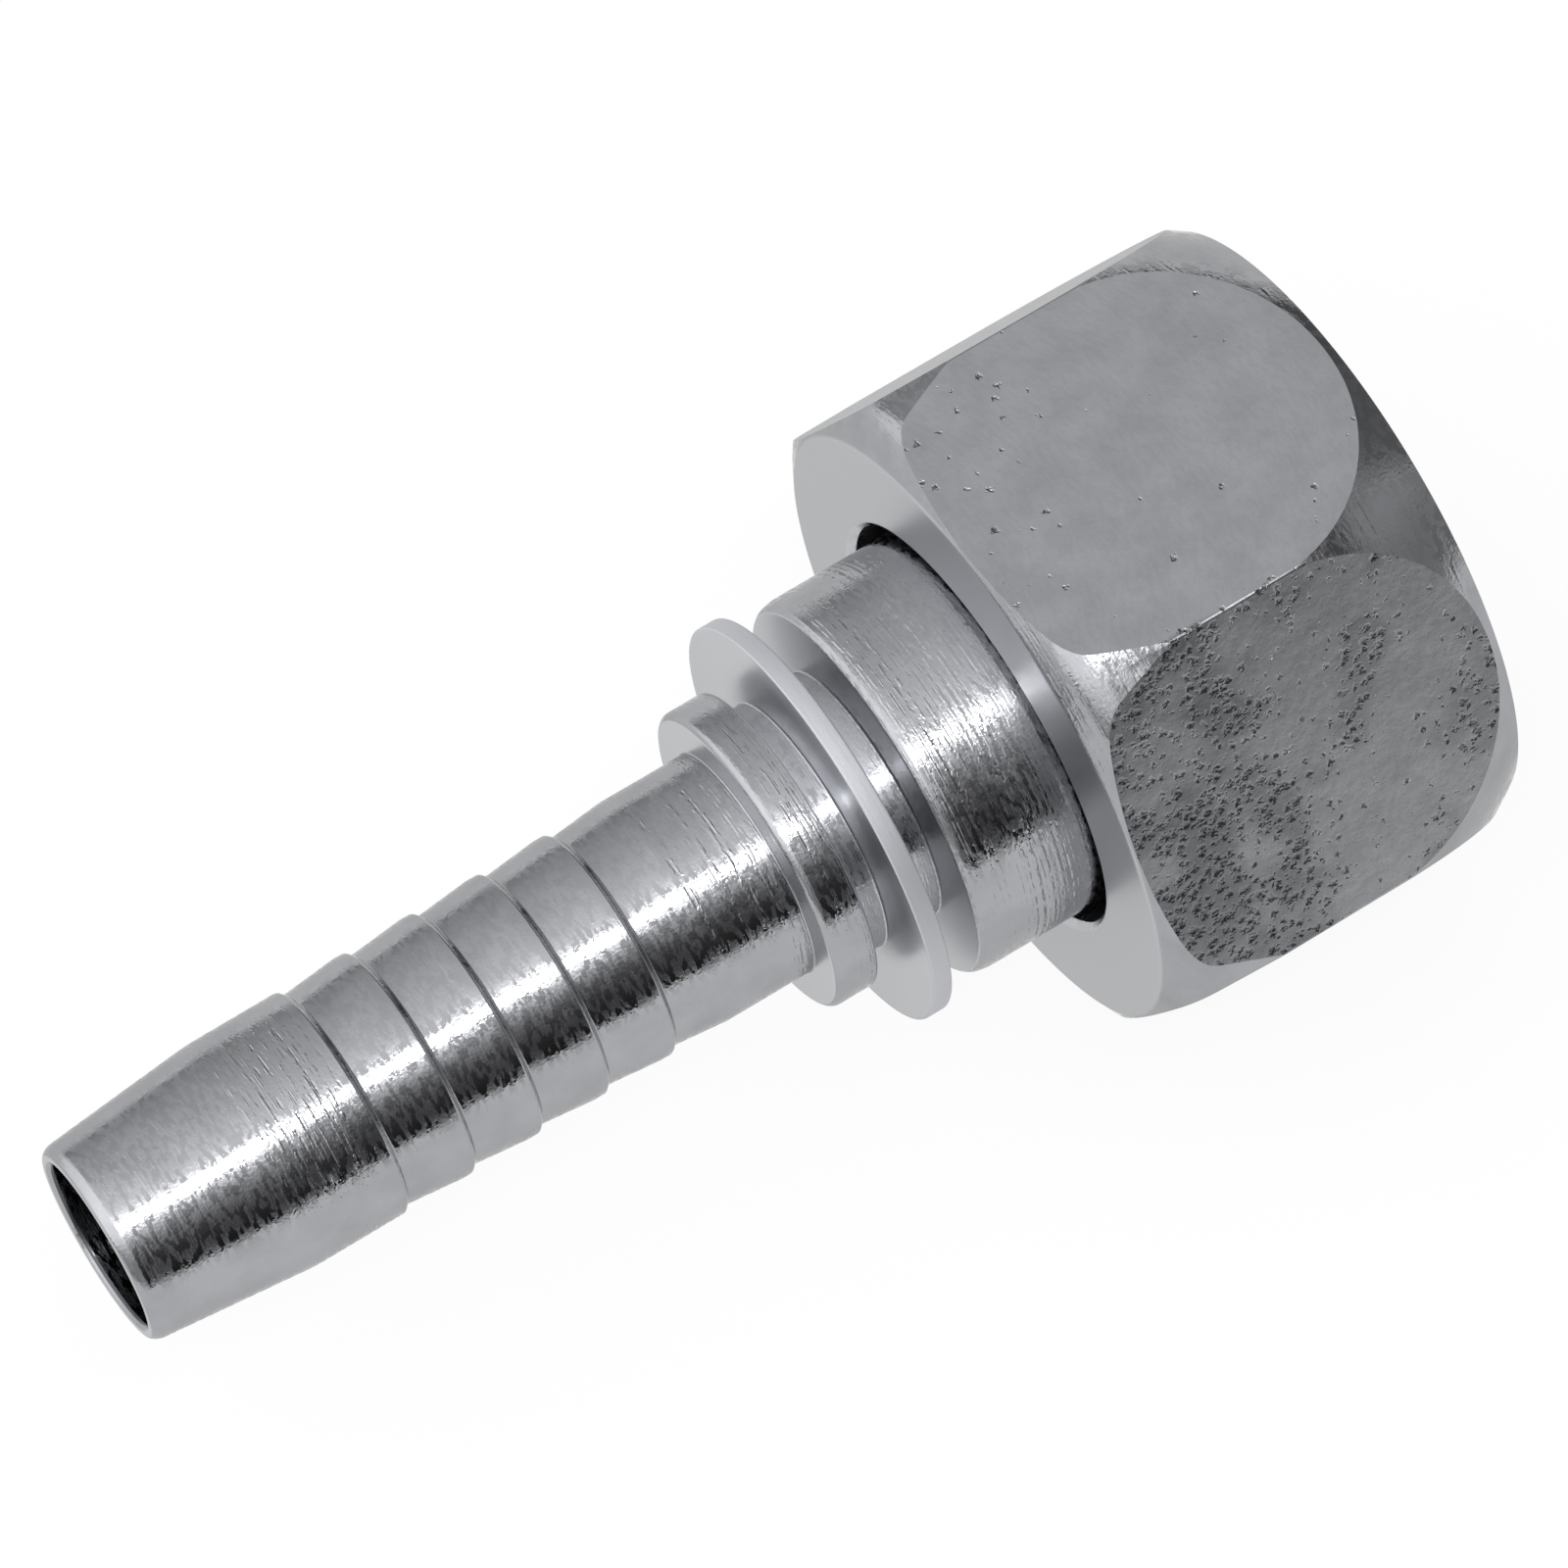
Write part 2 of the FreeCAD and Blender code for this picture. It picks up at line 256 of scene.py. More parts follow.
whole_room = add_node(tree, "ShaderNodeValToRGB", None, {"Fac": half_turns})
fill_ramp(whole_room, [(degrees / HALF_TURN, light) for degrees, light in ROOM], ROOM_BLUE)
for stops, start, full in SIDES:
    side = add_node(tree, "ShaderNodeValToRGB", None, {"Fac": half_turns})
    fill_ramp(side, [(degrees / HALF_TURN, light) for degrees, light in stops], ROOM_BLUE)
    share = add_node(tree, "ShaderNodeMapRange", {"interpolation_type": "SMOOTHSTEP"}, {
        "Value": parts["X"], "From Min": start, "From Max": full})
    whole_room = add_node(tree, "ShaderNodeMix", {"data_type": "RGBA"}, {
        0: share, FIRST_COLOUR: whole_room, SECOND_COLOUR: side}).outputs[MIXED_COLOUR]
background = add_node(tree, "ShaderNodeBackground", None, {
    "Color": whole_room, "Strength": ROOM_STRENGTH})
add_node(tree, "ShaderNodeOutputWorld", None, {"Surface": background})
print("stops in the room:", len(ROOM))

# %% [markdown]
# One strip light, long in the direction of the fitting's axis and narrow across it, gives
# every round part the same thin white line. It hangs beyond the camera.

# %% Hang the strip light
STRIP_ANGLE = math.radians(68)
STRIP_DISTANCE = 0.7
STRIP_LENGTH, STRIP_WIDTH = 0.50, 0.11
STRIP_MIDDLE = -0.05
STRIP_POWER = 1.15

strip = bpy.data.objects.new("strip_light", bpy.data.lights.new("strip_light", "AREA"))
strip.data.shape = "RECTANGLE"
strip.data.size = STRIP_LENGTH
strip.data.size_y = STRIP_WIDTH
strip.data.energy = STRIP_POWER
away = Vector((0, -math.cos(STRIP_ANGLE), math.sin(STRIP_ANGLE)))
strip_turn = Matrix((along_axis, away.cross(along_axis), away)).transposed().to_4x4()
strip_place = AXIS + away * STRIP_DISTANCE + along_axis * STRIP_MIDDLE
strip.matrix_world = Matrix.Translation(strip_place) @ strip_turn
strip.visible_camera = False
bpy.context.scene.collection.objects.link(strip)
print("strip light at", strip_place)

# %% [markdown]
# ## Marks of the lathe
#
# Stem and nut are turned from steel bar and plated with a thin bright layer of zinc. The tip
# of the tool leaves fine grooves around the piece. It chatters, so the grooves are deep in
# some places and faint in others, and none runs all the way round. Chips smear short smooth
# spots over a surface that is otherwise a little dull. Bright metal mirrors the room, so
# these spots show as dark flecks only where the room is dark, as they do on the real piece.
#
# A groove is noise that changes only along the outline, times a second noise that lets it
# come and go. On end faces the grooves run around too, so the distance from the axis is
# added to the place along it. Modelled grooves would need millions of faces, so a bump draws
# them.

# %% Places and patterns on turned steel
# The real grooves and the grain of the zinc are a few hundredths of a millimetre wide. They
# are drawn as coarse as they need to show.
RING_MM, RING_DEPTH_MM = 0.14, 0.17
SPOT_MM, SPOT_DEPTH_MM = 0.12, 0.006
MARK_MM, MARK_SQUEEZE = 0.36, 1.8
TEAR_MM, TEAR_SQUEEZE, TEAR_DEPTH_MM = 0.48, 2.6, 0.004
CHATTER_MM, CLOUD_MM = 0.9, 1.6
RADIUS_SHARE = 0.9
TEARS_SMOOTHER, TEAR_TINT_SHARE = -0.18, 0.07
DULL_TINT = "77787b"
END_FACE_STARTS, END_FACE_FULL = 0.90, 0.97


def per_metre(length_mm):
    """How many times a pattern of that size repeats in a metre."""
    return 1 / (length_mm * MM)


def lathe_marks(tree, base, shade):
    """Places, masks and patterns that all turned steel shares, and a colour of two greys."""
    where = add_node(tree, "ShaderNodeTexCoord")
    centred = add_node(tree, "ShaderNodeVectorMath", {"operation": "SUBTRACT"}, {
        0: where.outputs["Object"], 1: AXIS})
    parts = add_node(tree, "ShaderNodeSeparateXYZ", None, {"Vector": centred}).outputs
    sideways = add_node(tree, "ShaderNodeCombineXYZ", None, {
        "Y": parts["Y"], "Z": parts["Z"]})
    radius = add_node(tree, "ShaderNodeVectorMath", {"operation": "LENGTH"}, {
        0: sideways}).outputs["Value"]
    profile = add_node(tree, "ShaderNodeMath", {"operation": "MULTIPLY_ADD"}, {
        0: radius, 1: RADIUS_SHARE, 2: parts["X"]})
    along_only = add_node(tree, "ShaderNodeCombineXYZ", None, {"X": profile})
    geometry = add_node(tree, "ShaderNodeNewGeometry")
    facing = add_node(tree, "ShaderNodeSeparateXYZ", None, {
        "Vector": geometry.outputs["True Normal"]})
    facing_along = add_node(tree, "ShaderNodeMath", {"operation": "ABSOLUTE"}, {
        0: facing.outputs["X"]})
    end_face = add_node(tree, "ShaderNodeMapRange", None, {
        "Value": facing_along, "From Min": END_FACE_STARTS, "From Max": END_FACE_FULL})
    not_end = add_node(tree, "ShaderNodeMath", {"operation": "SUBTRACT"}, {
        0: 1.0, 1: end_face})

    squeezed = []
    for squeeze in (MARK_SQUEEZE, TEAR_SQUEEZE):
        along = add_node(tree, "ShaderNodeMath", {"operation": "MULTIPLY"}, {
            0: profile, 1: squeeze})
        squeezed.append(add_node(tree, "ShaderNodeCombineXYZ", None, {
            "X": along, "Y": parts["Y"], "Z": parts["Z"]}))
    noises = []
    for vector, size_mm, detail in (
        (along_only, RING_MM, 1.0), (squeezed[0], MARK_MM, 2.0), (squeezed[1], TEAR_MM, 1.0),
        (centred, SPOT_MM, 2.0), (along_only, CHATTER_MM, 1.0), (centred, CLOUD_MM, 3.0),
    ):
        noises.append(add_node(tree, "ShaderNodeTexNoise", None, {
            "Vector": vector, "Scale": per_metre(size_mm), "Detail": detail}))
    groove, mark, tears, spots, chatter, clouds = noises

    groove = add_node(tree, "ShaderNodeMath", {"operation": "SUBTRACT"}, {
        0: groove, 1: 0.5})
    mark = add_node(tree, "ShaderNodeMapRange", None, {
        "Value": mark, "From Min": 0.42, "From Max": 0.58})
    rings = add_node(tree, "ShaderNodeMath", {"operation": "MULTIPLY"}, {
        0: groove, 1: mark})
    tears = add_node(tree, "ShaderNodeMapRange", None, {
        "Value": tears, "From Min": 0.51, "From Max": 0.44})
    tears = add_node(tree, "ShaderNodeMath", {"operation": "MULTIPLY"}, {
        0: tears, 1: not_end})
    chatter = add_node(tree, "ShaderNodeMapRange", None, {
        "Value": chatter, "From Min": 0.36, "From Max": 0.64, "To Min": 0.45})
    chatter = add_node(tree, "ShaderNodeMath", {"operation": "MULTIPLY"}, {
        0: chatter, 1: not_end})
    clouds = add_node(tree, "ShaderNodeMapRange", None, {
        "Value": clouds, "From Min": 0.35, "From Max": 0.65})
    faint_tears = add_node(tree, "ShaderNodeMath", {"operation": "MULTIPLY"}, {
        0: tears, 1: TEAR_TINT_SHARE})
    colour = linear(shade)
    for share, tint in ((clouds, base), (faint_tears, DULL_TINT)):
        colour = add_node(tree, "ShaderNodeMix", {"data_type": "RGBA"}, {
            0: share, FIRST_COLOUR: colour, SECOND_COLOUR: linear(tint),
        }).outputs[MIXED_COLOUR]
    return SimpleNamespace(
        centred=centred, along=parts["X"], across=parts["Y"], up=parts["Z"], radius=radius,
        facing_along=facing_along, end_face=end_face, not_end=not_end, rings=rings,
        tears=tears, spots=spots, chatter=chatter, clouds=clouds, colour=colour)


print("a ring pattern repeats", round(per_metre(RING_MM)), "times in a metre")

# %% [markdown]
# Both steels end in the same way: grooves, smooth spots and grain are laid one over the
# other on what is under them, and the faces that the tool cut straight across get a lighter
# grey, painted light that brightens what these faces mirror. Light that grazes zinc doesn't
# turn quite white, so the edge tint is below 1.

# %% Lay the marks over one another
EDGE_TINT = (0.72, 0.72, 0.72, 1)


def finish_steel(tree, output, marks, colour, face_grey_painted_light, dullness, ring_share, grain_share,
                 under):
    """Lay rings, tears and grain over the bump under them, and mix the metal."""
    normal = under
    for height, share, depth_mm, inverted in (
        (marks.rings, ring_share, RING_DEPTH_MM, False),
        (marks.tears, ring_share, TEAR_DEPTH_MM, True),
        (marks.spots, grain_share, SPOT_DEPTH_MM, False),
    ):
        normal = add_node(tree, "ShaderNodeBump", {"invert": inverted}, {
            "Height": height, "Strength": share, "Distance": depth_mm * MM,
            "Normal": normal})
    # Faces that look along the axis get a lighter grey here: painted light that brightens
    # what they mirror.
    colour = add_node(tree, "ShaderNodeMix", {"data_type": "RGBA"}, {
        0: marks.end_face, FIRST_COLOUR: colour, SECOND_COLOUR: linear(face_grey_painted_light),
    }).outputs[MIXED_COLOUR]
    steel = add_node(tree, "ShaderNodeBsdfPrincipled", None, {
        "Base Color": colour, "Metallic": 1.0, "Roughness": dullness,
        "Specular Tint": EDGE_TINT, "Normal": normal})
    tree.links.new(steel.outputs[0], output.inputs["Surface"])


print("edge tint of zinc:", EDGE_TINT[0])

# %% [markdown]
# ## Steel of the stem
#
# The stem is turned all over. How deep the tool's grooves are depends on the place: they
# are deepest at the end of the lead-in and on the shank, and shallow on the barbs. The thin
# flange has a dull pale rim. The necks on its two sides are a little duller and get a lighter
# grey, which is painted light in these grooves, and the drilled bore gets a dark grey, which
# is painted shade. Masks along the axis and by the distance from it find these places.

# %% Mix the stem's steel
STEM_DULLNESS, RIM_DULLER, NECKS_DULLER = 0.25, 0.36, 0.04
# The lighter grey of the faces cut straight across is painted light.
STEM_ZINC, STEM_ZINC_SHADE, STEM_FACES_PAINTED_LIGHT = "acadb0", "a4a5a8", "cecfd2"
# The necks' lighter grey is painted light in the grooves and the bore's dark grey is painted
# shade; the rim's pale grey is its own.
NECKS_PAINTED_LIGHT, RIM_TINT, BORE_PAINTED_SHADE = "b9babe", "cfd0d4", "56575a"
RIM_FRONT, RIM_RADIUS = 28.5, 7.25
NECKS_START, NECKS_END = 26.15, 29.3
BORE_MASK_RADIUS = 3.0
CLOUD_DEPTH_MM = 0.004
DEEPNESS_END = 40.0
RING_DEEPNESS = [
    (0.0, 0.10), (5.4, 0.10), (5.7, 0.55), (9.1, 0.55), (9.4, 0.12), (21.3, 0.12),
    (21.7, 0.40), (24.5, 0.40), (26.2, 0.40), (27.3, 0.08), (28.6, 0.12), (29.3, 0.55),
    (32.4, 0.50), (33.4, 0.14), (37.0, 0.14),
]

stem_steel, tree, output = new_material("zinc_plated_turned_steel")
marks = lathe_marks(tree, STEM_ZINC, STEM_ZINC_SHADE)

masks = []
for operation, measure, limit in (
    ("LESS_THAN", marks.along, place(RIM_FRONT, 0).x),
    ("GREATER_THAN", marks.radius, RIM_RADIUS * MM),
    ("GREATER_THAN", marks.along, place(NECKS_START, 0).x),
    ("LESS_THAN", marks.along, place(NECKS_END, 0).x),
    ("LESS_THAN", marks.radius, BORE_MASK_RADIUS * MM),
):
    masks.append(add_node(tree, "ShaderNodeMath", {"operation": operation}, {
        0: measure, 1: limit}))
in_front, on_rim, past_collar, before_shank, in_bore = masks
rim = add_node(tree, "ShaderNodeMath", {"operation": "MULTIPLY"}, {
    0: in_front, 1: on_rim})
necks = add_node(tree, "ShaderNodeMath", {"operation": "MULTIPLY"}, {
    0: past_collar, 1: before_shank})
no_rim = add_node(tree, "ShaderNodeMath", {"operation": "SUBTRACT"}, {0: 1.0, 1: rim})
smooth_spots = add_node(tree, "ShaderNodeMath", {"operation": "MULTIPLY"}, {
    0: marks.tears, 1: no_rim})

dullness = STEM_DULLNESS
for share, duller in (
    (smooth_spots, TEARS_SMOOTHER), (rim, RIM_DULLER), (necks, NECKS_DULLER),
):
    dullness = add_node(tree, "ShaderNodeMath", {"operation": "MULTIPLY_ADD"}, {
        0: share, 1: duller, 2: dullness})
colour = marks.colour
# Painted light lifts the necks and painted shade darkens the bore; the rim keeps its own pale
# grey.
for share, tint in ((necks, NECKS_PAINTED_LIGHT), (rim, RIM_TINT), (in_bore, BORE_PAINTED_SHADE)):
    colour = add_node(tree, "ShaderNodeMix", {"data_type": "RGBA"}, {
        0: share, FIRST_COLOUR: colour, SECOND_COLOUR: linear(tint),
    }).outputs[MIXED_COLOUR]

share_along = add_node(tree, "ShaderNodeMapRange", None, {
    "Value": marks.along, "From Min": place(0, 0).x, "From Max": place(DEEPNESS_END, 0).x})
deepness = add_node(tree, "ShaderNodeValToRGB", None, {"Fac": share_along})
fill_ramp(deepness, [(along / DEEPNESS_END, depth) for along, depth in RING_DEEPNESS])
ring_share = add_node(tree, "ShaderNodeMath", {"operation": "MULTIPLY"}, {
    0: marks.chatter, 1: deepness})
waves = add_node(tree, "ShaderNodeBump", None, {
    "Height": marks.clouds, "Strength": 1.0, "Distance": CLOUD_DEPTH_MM * MM})
finish_steel(
    tree, output, marks, colour, STEM_FACES_PAINTED_LIGHT, dullness, ring_share, marks.not_end, waves)
print("material:", stem_steel.name)

# %% [markdown]
# ## Steel of the nut
#
# The nut's ends and its bevels are turned, but its flats are the skin of the drawn bar, with
# faint scratches and small pits that the zinc hasn't filled. One flat is much more pitted
# than the rest, mostly towards the rear and in patches. Each pit is a cell of a Voronoi
# pattern. A share of the cells is whole metal, and noise bends the cells so that no pit is
# round. The pits are dark, because the zinc is dull in them. The masks use the nut's own
# coordinates, so the pits turn with it.

# %% Mix the nut's steel
NUT_DULLNESS, BAR_DULLNESS, SCRATCHES_DULLER, ENDS_DULLER = 0.22, 0.22, 0.10, 0.10
# The lighter grey of the faces cut straight across is painted light.
NUT_ZINC, NUT_ZINC_SHADE, NUT_FACES_PAINTED_LIGHT = "a8a9ac", "9fa0a3", "c2c3c6"
# The lighter grey inside the hole is painted light.
HOLE_PAINTED_LIGHT, PIT_TINT = "c4c5c9", "4a4b4e"
SCRATCH_MM, SCRATCH_DEPTH_MM = 0.5, 0.007
PIT_GAP_MM, PIT_DEPTH_MM, PIT_DARKNESS = 0.34, 0.032, 0.75
PIT_BEND_MM, PIT_BEND_FAR_MM = 0.16, 0.3
PATCH_MM = 2.6
CLEAN_FLATS_SHARE, REAR_SHARE, WORN_SHARE = 0.22, 0.45, 0.8
PITTED_FLAT_ANGLE = math.radians(30)
PITTED_FROM, PITTED_TO = 41.0, 35.5
HOLE_MASK_RADIUS = 7.8
RING_SHARE_OF_NUT, GRAIN_SHARE_OF_FLATS = 0.20, 0.2
BAR_SKIN_ENDS, TURNED_STARTS = 0.03, 0.08

nut_steel, tree, output = new_material("zinc_plated_hexagon_steel")
marks = lathe_marks(tree, NUT_ZINC, NUT_ZINC_SHADE)
turned_share = add_node(tree, "ShaderNodeMapRange", None, {
    "Value": marks.facing_along, "From Min": BAR_SKIN_ENDS, "From Max": TURNED_STARTS})
flat_share = add_node(tree, "ShaderNodeMath", {"operation": "SUBTRACT"}, {
    0: 1.0, 1: turned_share})

# How much of the bar's skin is pitted: most on the flat that faces forwards and up.
height_part = add_node(tree, "ShaderNodeMath", {"operation": "MULTIPLY"}, {
    0: marks.up, 1: math.sin(PITTED_FLAT_ANGLE)})
out_of_flat = add_node(tree, "ShaderNodeMath", {"operation": "MULTIPLY_ADD"}, {
    0: marks.across, 1: -math.cos(PITTED_FLAT_ANGLE), 2: height_part})
on_pitted_flat = add_node(tree, "ShaderNodeMapRange", None, {
    "Value": out_of_flat, "From Min": (AXIS_HEIGHT - 0.25) * MM,
    "From Max": (AXIS_HEIGHT - 0.05) * MM, "To Min": CLEAN_FLATS_SHARE})
rear = add_node(tree, "ShaderNodeMapRange", None, {
    "Value": marks.along, "From Min": place(PITTED_FROM, 0).x,
    "From Max": place(PITTED_TO, 0).x, "To Max": REAR_SHARE})
patches = add_node(tree, "ShaderNodeTexNoise", None, {
    "Vector": marks.centred, "Scale": per_metre(PATCH_MM), "Detail": 2.0})
patches = add_node(tree, "ShaderNodeMapRange", None, {
    "Value": patches, "From Min": 0.40, "From Max": 0.62, "To Min": 0.18, "To Max": 0.80})
pit_share = add_node(tree, "ShaderNodeMath", {"operation": "ADD"}, {0: patches, 1: rear})
pit_share = add_node(tree, "ShaderNodeMath", {"operation": "MULTIPLY"}, {
    0: pit_share, 1: on_pitted_flat})

# The pits are low where a cell's middle is near, unless the whole cell is sound.
bend = add_node(tree, "ShaderNodeTexNoise", None, {
    "Vector": marks.centred, "Scale": per_metre(PIT_BEND_MM), "Detail": 1.0})
bent = add_node(tree, "ShaderNodeVectorMath", {"operation": "MULTIPLY_ADD"}, {
    0: bend.outputs["Color"], 1: Vector((1, 1, 1)) * PIT_BEND_FAR_MM * MM,
    2: marks.centred})
cells = add_node(tree, "ShaderNodeTexVoronoi", None, {
    "Vector": bent, "Scale": per_metre(PIT_GAP_MM), "Randomness": 1.0}).outputs
sound = add_node(tree, "ShaderNodeMath", {"operation": "GREATER_THAN"}, {
    0: cells["Color"], 1: pit_share})
pit_edge = add_node(tree, "ShaderNodeMapRange", None, {
    "Value": pit_share, "From Min": 0.3, "From Max": 1.0, "To Min": 0.36, "To Max": 0.56})
pits = add_node(tree, "ShaderNodeMapRange", None, {
    "Value": cells["Distance"], "From Min": 0.10, "From Max": pit_edge})
pits = add_node(tree, "ShaderNodeMath", {"operation": "MAXIMUM"}, {0: pits, 1: sound})

scratches = add_node(tree, "ShaderNodeTexNoise", None, {
    "Vector": marks.centred, "Scale": per_metre(SCRATCH_MM), "Detail": 3.0,
    "Roughness": 0.55})
bar_dullness = add_node(tree, "ShaderNodeMath", {"operation": "MULTIPLY_ADD"}, {
    0: scratches, 1: SCRATCHES_DULLER, 2: BAR_DULLNESS})
turned_dullness = add_node(tree, "ShaderNodeMath", {"operation": "MULTIPLY_ADD"}, {
    0: marks.tears, 1: TEARS_SMOOTHER, 2: NUT_DULLNESS})
dullness = add_node(tree, "ShaderNodeMix", None, {
    0: turned_share, FIRST_NUMBER: bar_dullness, SECOND_NUMBER: turned_dullness})
dullness = add_node(tree, "ShaderNodeMath", {"operation": "MULTIPLY_ADD"}, {
    0: marks.end_face, 1: ENDS_DULLER, 2: dullness})

# Inside the hole the steel gets a lighter grey: painted light that lifts the dark gap around
# the shank.
in_hole = add_node(tree, "ShaderNodeMath", {"operation": "LESS_THAN"}, {
    0: marks.radius, 1: HOLE_MASK_RADIUS * MM})
worn = add_node(tree, "ShaderNodeMapRange", None, {
    "Value": pit_share, "From Min": 0.5, "From Max": 1.1, "To Max": WORN_SHARE})
worn = add_node(tree, "ShaderNodeMath", {"operation": "MULTIPLY"}, {
    0: worn, 1: flat_share})
in_pit = add_node(tree, "ShaderNodeMath", {"operation": "SUBTRACT"}, {0: 1.0, 1: pits})
in_pit = add_node(tree, "ShaderNodeMath", {"operation": "MULTIPLY"}, {
    0: in_pit, 1: flat_share})
in_pit = add_node(tree, "ShaderNodeMath", {"operation": "MULTIPLY"}, {
    0: in_pit, 1: PIT_DARKNESS})
colour = marks.colour
for share, tint in ((in_hole, HOLE_PAINTED_LIGHT), (worn, DULL_TINT), (in_pit, PIT_TINT)):
    colour = add_node(tree, "ShaderNodeMix", {"data_type": "RGBA"}, {
        0: share, FIRST_COLOUR: colour, SECOND_COLOUR: linear(tint),
    }).outputs[MIXED_COLOUR]

ring_share = add_node(tree, "ShaderNodeMath", {"operation": "MULTIPLY"}, {
    0: turned_share, 1: RING_SHARE_OF_NUT})
ring_share = add_node(tree, "ShaderNodeMath", {"operation": "MULTIPLY"}, {
    0: marks.chatter, 1: ring_share})
grain_share = add_node(tree, "ShaderNodeMapRange", None, {
    "Value": turned_share, "To Min": GRAIN_SHARE_OF_FLATS})
grain_share = add_node(tree, "ShaderNodeMath", {"operation": "MULTIPLY"}, {
    0: marks.not_end, 1: grain_share})
drawn = add_node(tree, "ShaderNodeBump", None, {
    "Height": scratches, "Strength": flat_share, "Distance": SCRATCH_DEPTH_MM * MM})
pitted = add_node(tree, "ShaderNodeBump", None, {
    "Height": pits, "Strength": flat_share, "Distance": PIT_DEPTH_MM * MM,
    "Normal": drawn})
finish_steel(
    tree, output, marks, colour, NUT_FACES_PAINTED_LIGHT, dullness, ring_share, grain_share, pitted)
print("material:", nut_steel.name)

# %% [markdown]
# ## Black rubber
#
# The ring is moulded nitrile rubber. It is a soft black that is never quite black, with a
# dull shine and a very fine grain from the mould.

# %% Mix the rubber
# The mould's grain is finer than this, but would not show.
GRAIN_MM, GRAIN_DEPTH_MM = 0.12, 0.004

ring_rubber, tree, output = new_material("nitrile_rubber")
where = add_node(tree, "ShaderNodeTexCoord")
grain = add_node(tree, "ShaderNodeTexNoise", None, {
    "Vector": where.outputs["Object"], "Scale": per_metre(GRAIN_MM), "Detail": 2.0})
grain_bump = add_node(tree, "ShaderNodeBump", None, {
    "Height": grain, "Strength": 0.6, "Distance": GRAIN_DEPTH_MM * MM})
dullness = add_node(tree, "ShaderNodeMapRange", None, {
    "Value": grain, "To Min": 0.45, "To Max": 0.62})
rubber = add_node(tree, "ShaderNodeBsdfPrincipled", None, {
    "Base Color": linear("1c1c1e"), "Roughness": dullness, "IOR": 1.52,
    "Normal": grain_bump})
tree.links.new(rubber.outputs[0], output.inputs["Surface"])
print("material:", ring_rubber.name)

# %% [markdown]
# ## Turning
#
# A lathe makes a shape from its half outline, and so does Blender's spin. The outline is
# drawn as a chain of points, one extrusion for each, and is then spun once about the axis.
# Real edges are never quite sharp. Each corner says how far back from it the rounding
# starts, and a helper draws a true arc there.

# %% Outline and spin
TURN_STEPS = 192
ARC_PARTS = 5
WELD = 1e-6
SMOOTH_ANGLE = 22


def rounded(corners):
    """Outline points for corners given as place, radius and how far back the arc starts."""
    points = []
    for number, (along, radius, cut) in enumerate(corners):
        corner = Vector((along, radius))
        if not cut:
            points.append(corner)
            continue
        back = (Vector(corners[number - 1][:2]) - corner).normalized()
        onward = (Vector(corners[(number + 1) % len(corners)][:2]) - corner).normalized()
        half = back.angle(onward) / 2
        centre = corner + (back + onward).normalized() * cut / math.cos(half)
        first = corner + back * cut - centre
        last = corner + onward * cut - centre
        swing = first.angle_signed(last)
        for part in range(ARC_PARTS + 1):
            spoke = Matrix.Rotation(-swing * part / ARC_PARTS, 2) @ first
            points.append(centre + spoke)
    return points


def clear_selection():
    """Back to object mode with nothing selected."""
    if bpy.context.mode != "OBJECT":
        bpy.ops.object.mode_set(mode="OBJECT")
    bpy.ops.object.select_all(action="DESELECT")


def chain_of_edges(name, points):
    """A piece that is only a closed outline: one vertex, extruded from point to point."""
    clear_selection()
    spots = [place(*point) for point in points]
    bpy.ops.mesh.primitive_plane_add(size=MM, location=spots[0])
    piece = bpy.context.object
    piece.name = name
    bpy.ops.object.mode_set(mode="EDIT")
    bpy.ops.mesh.select_all(action="SELECT")
    bpy.ops.mesh.merge(type="CENTER")
    for here, there in zip(spots, spots[1:] + spots[:1]):
        bpy.ops.mesh.extrude_region_move(TRANSFORM_OT_translate={"value": there - here})
    bpy.ops.mesh.select_all(action="SELECT")
    bpy.ops.mesh.remove_doubles(threshold=WELD)
    return piece


def settle(piece, smooth_angle=SMOOTH_ANGLE):
    """Close the seams, point the faces outwards and put the place into the mesh."""
    if bpy.context.mode != "EDIT_MESH":
        bpy.ops.object.mode_set(mode="EDIT")
    bpy.ops.mesh.select_all(action="SELECT")
    bpy.ops.mesh.remove_doubles(threshold=WELD)
    bpy.ops.mesh.normals_make_consistent(inside=False)
    clear_selection()
    piece.select_set(True)
    bpy.context.view_layer.objects.active = piece
    bpy.ops.object.transform_apply(location=True, rotation=True, scale=True)
    bpy.ops.object.shade_smooth_by_angle(angle=math.radians(smooth_angle))
    return piece


def turned(name, corners):
    """A turned piece from the corners of its half outline."""
    piece = chain_of_edges(name, rounded(corners))
    bpy.ops.mesh.select_all(action="SELECT")
    bpy.ops.mesh.spin(steps=TURN_STEPS, angle=math.tau, center=AXIS, axis=(1, 0, 0))
    return settle(piece)


def dress(piece, material, body, slot, *nodes):
    """Give a piece its material, its body and the CAD nodes that it stands for. The slot is
    not used.
    """
    piece.data.materials.clear()
    piece.data.materials.append(material)
    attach(piece, body)
    if nodes:
        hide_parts(*nodes)
    print(piece.name, len(piece.data.polygons), "faces")


print("a turned piece has", TURN_STEPS, "steps around")

# %% [markdown]
# ## The stem
#
# The tail is held in the hose by five shallow barbs, each a slow rise, a short land and a
# sudden step. Behind it come a collar, the groove where the crimped ferrule bites, a stop
# flange as thin as a washer, a neck, and the shank that runs on under the nut. Inside the
# nut the shank widens to a head, and the 24 degree cone seals against the tube fitting.

# %% Turn the stem
# Radii, from the bore outwards.
BORE, ROOT, TAIL, NECK, GROOVE, COLLAR = 2.95, 3.9, 4.1, 4.55, 5.15, 5.5
SHANK, FLANGE, HEAD = 6.95, 7.35, 8.0
BARB_START, BARB_PITCH, BARB_COUNT = 9.1, 2.54, 5
BARB_STEP, BARB_LAND = 0.2, 0.36

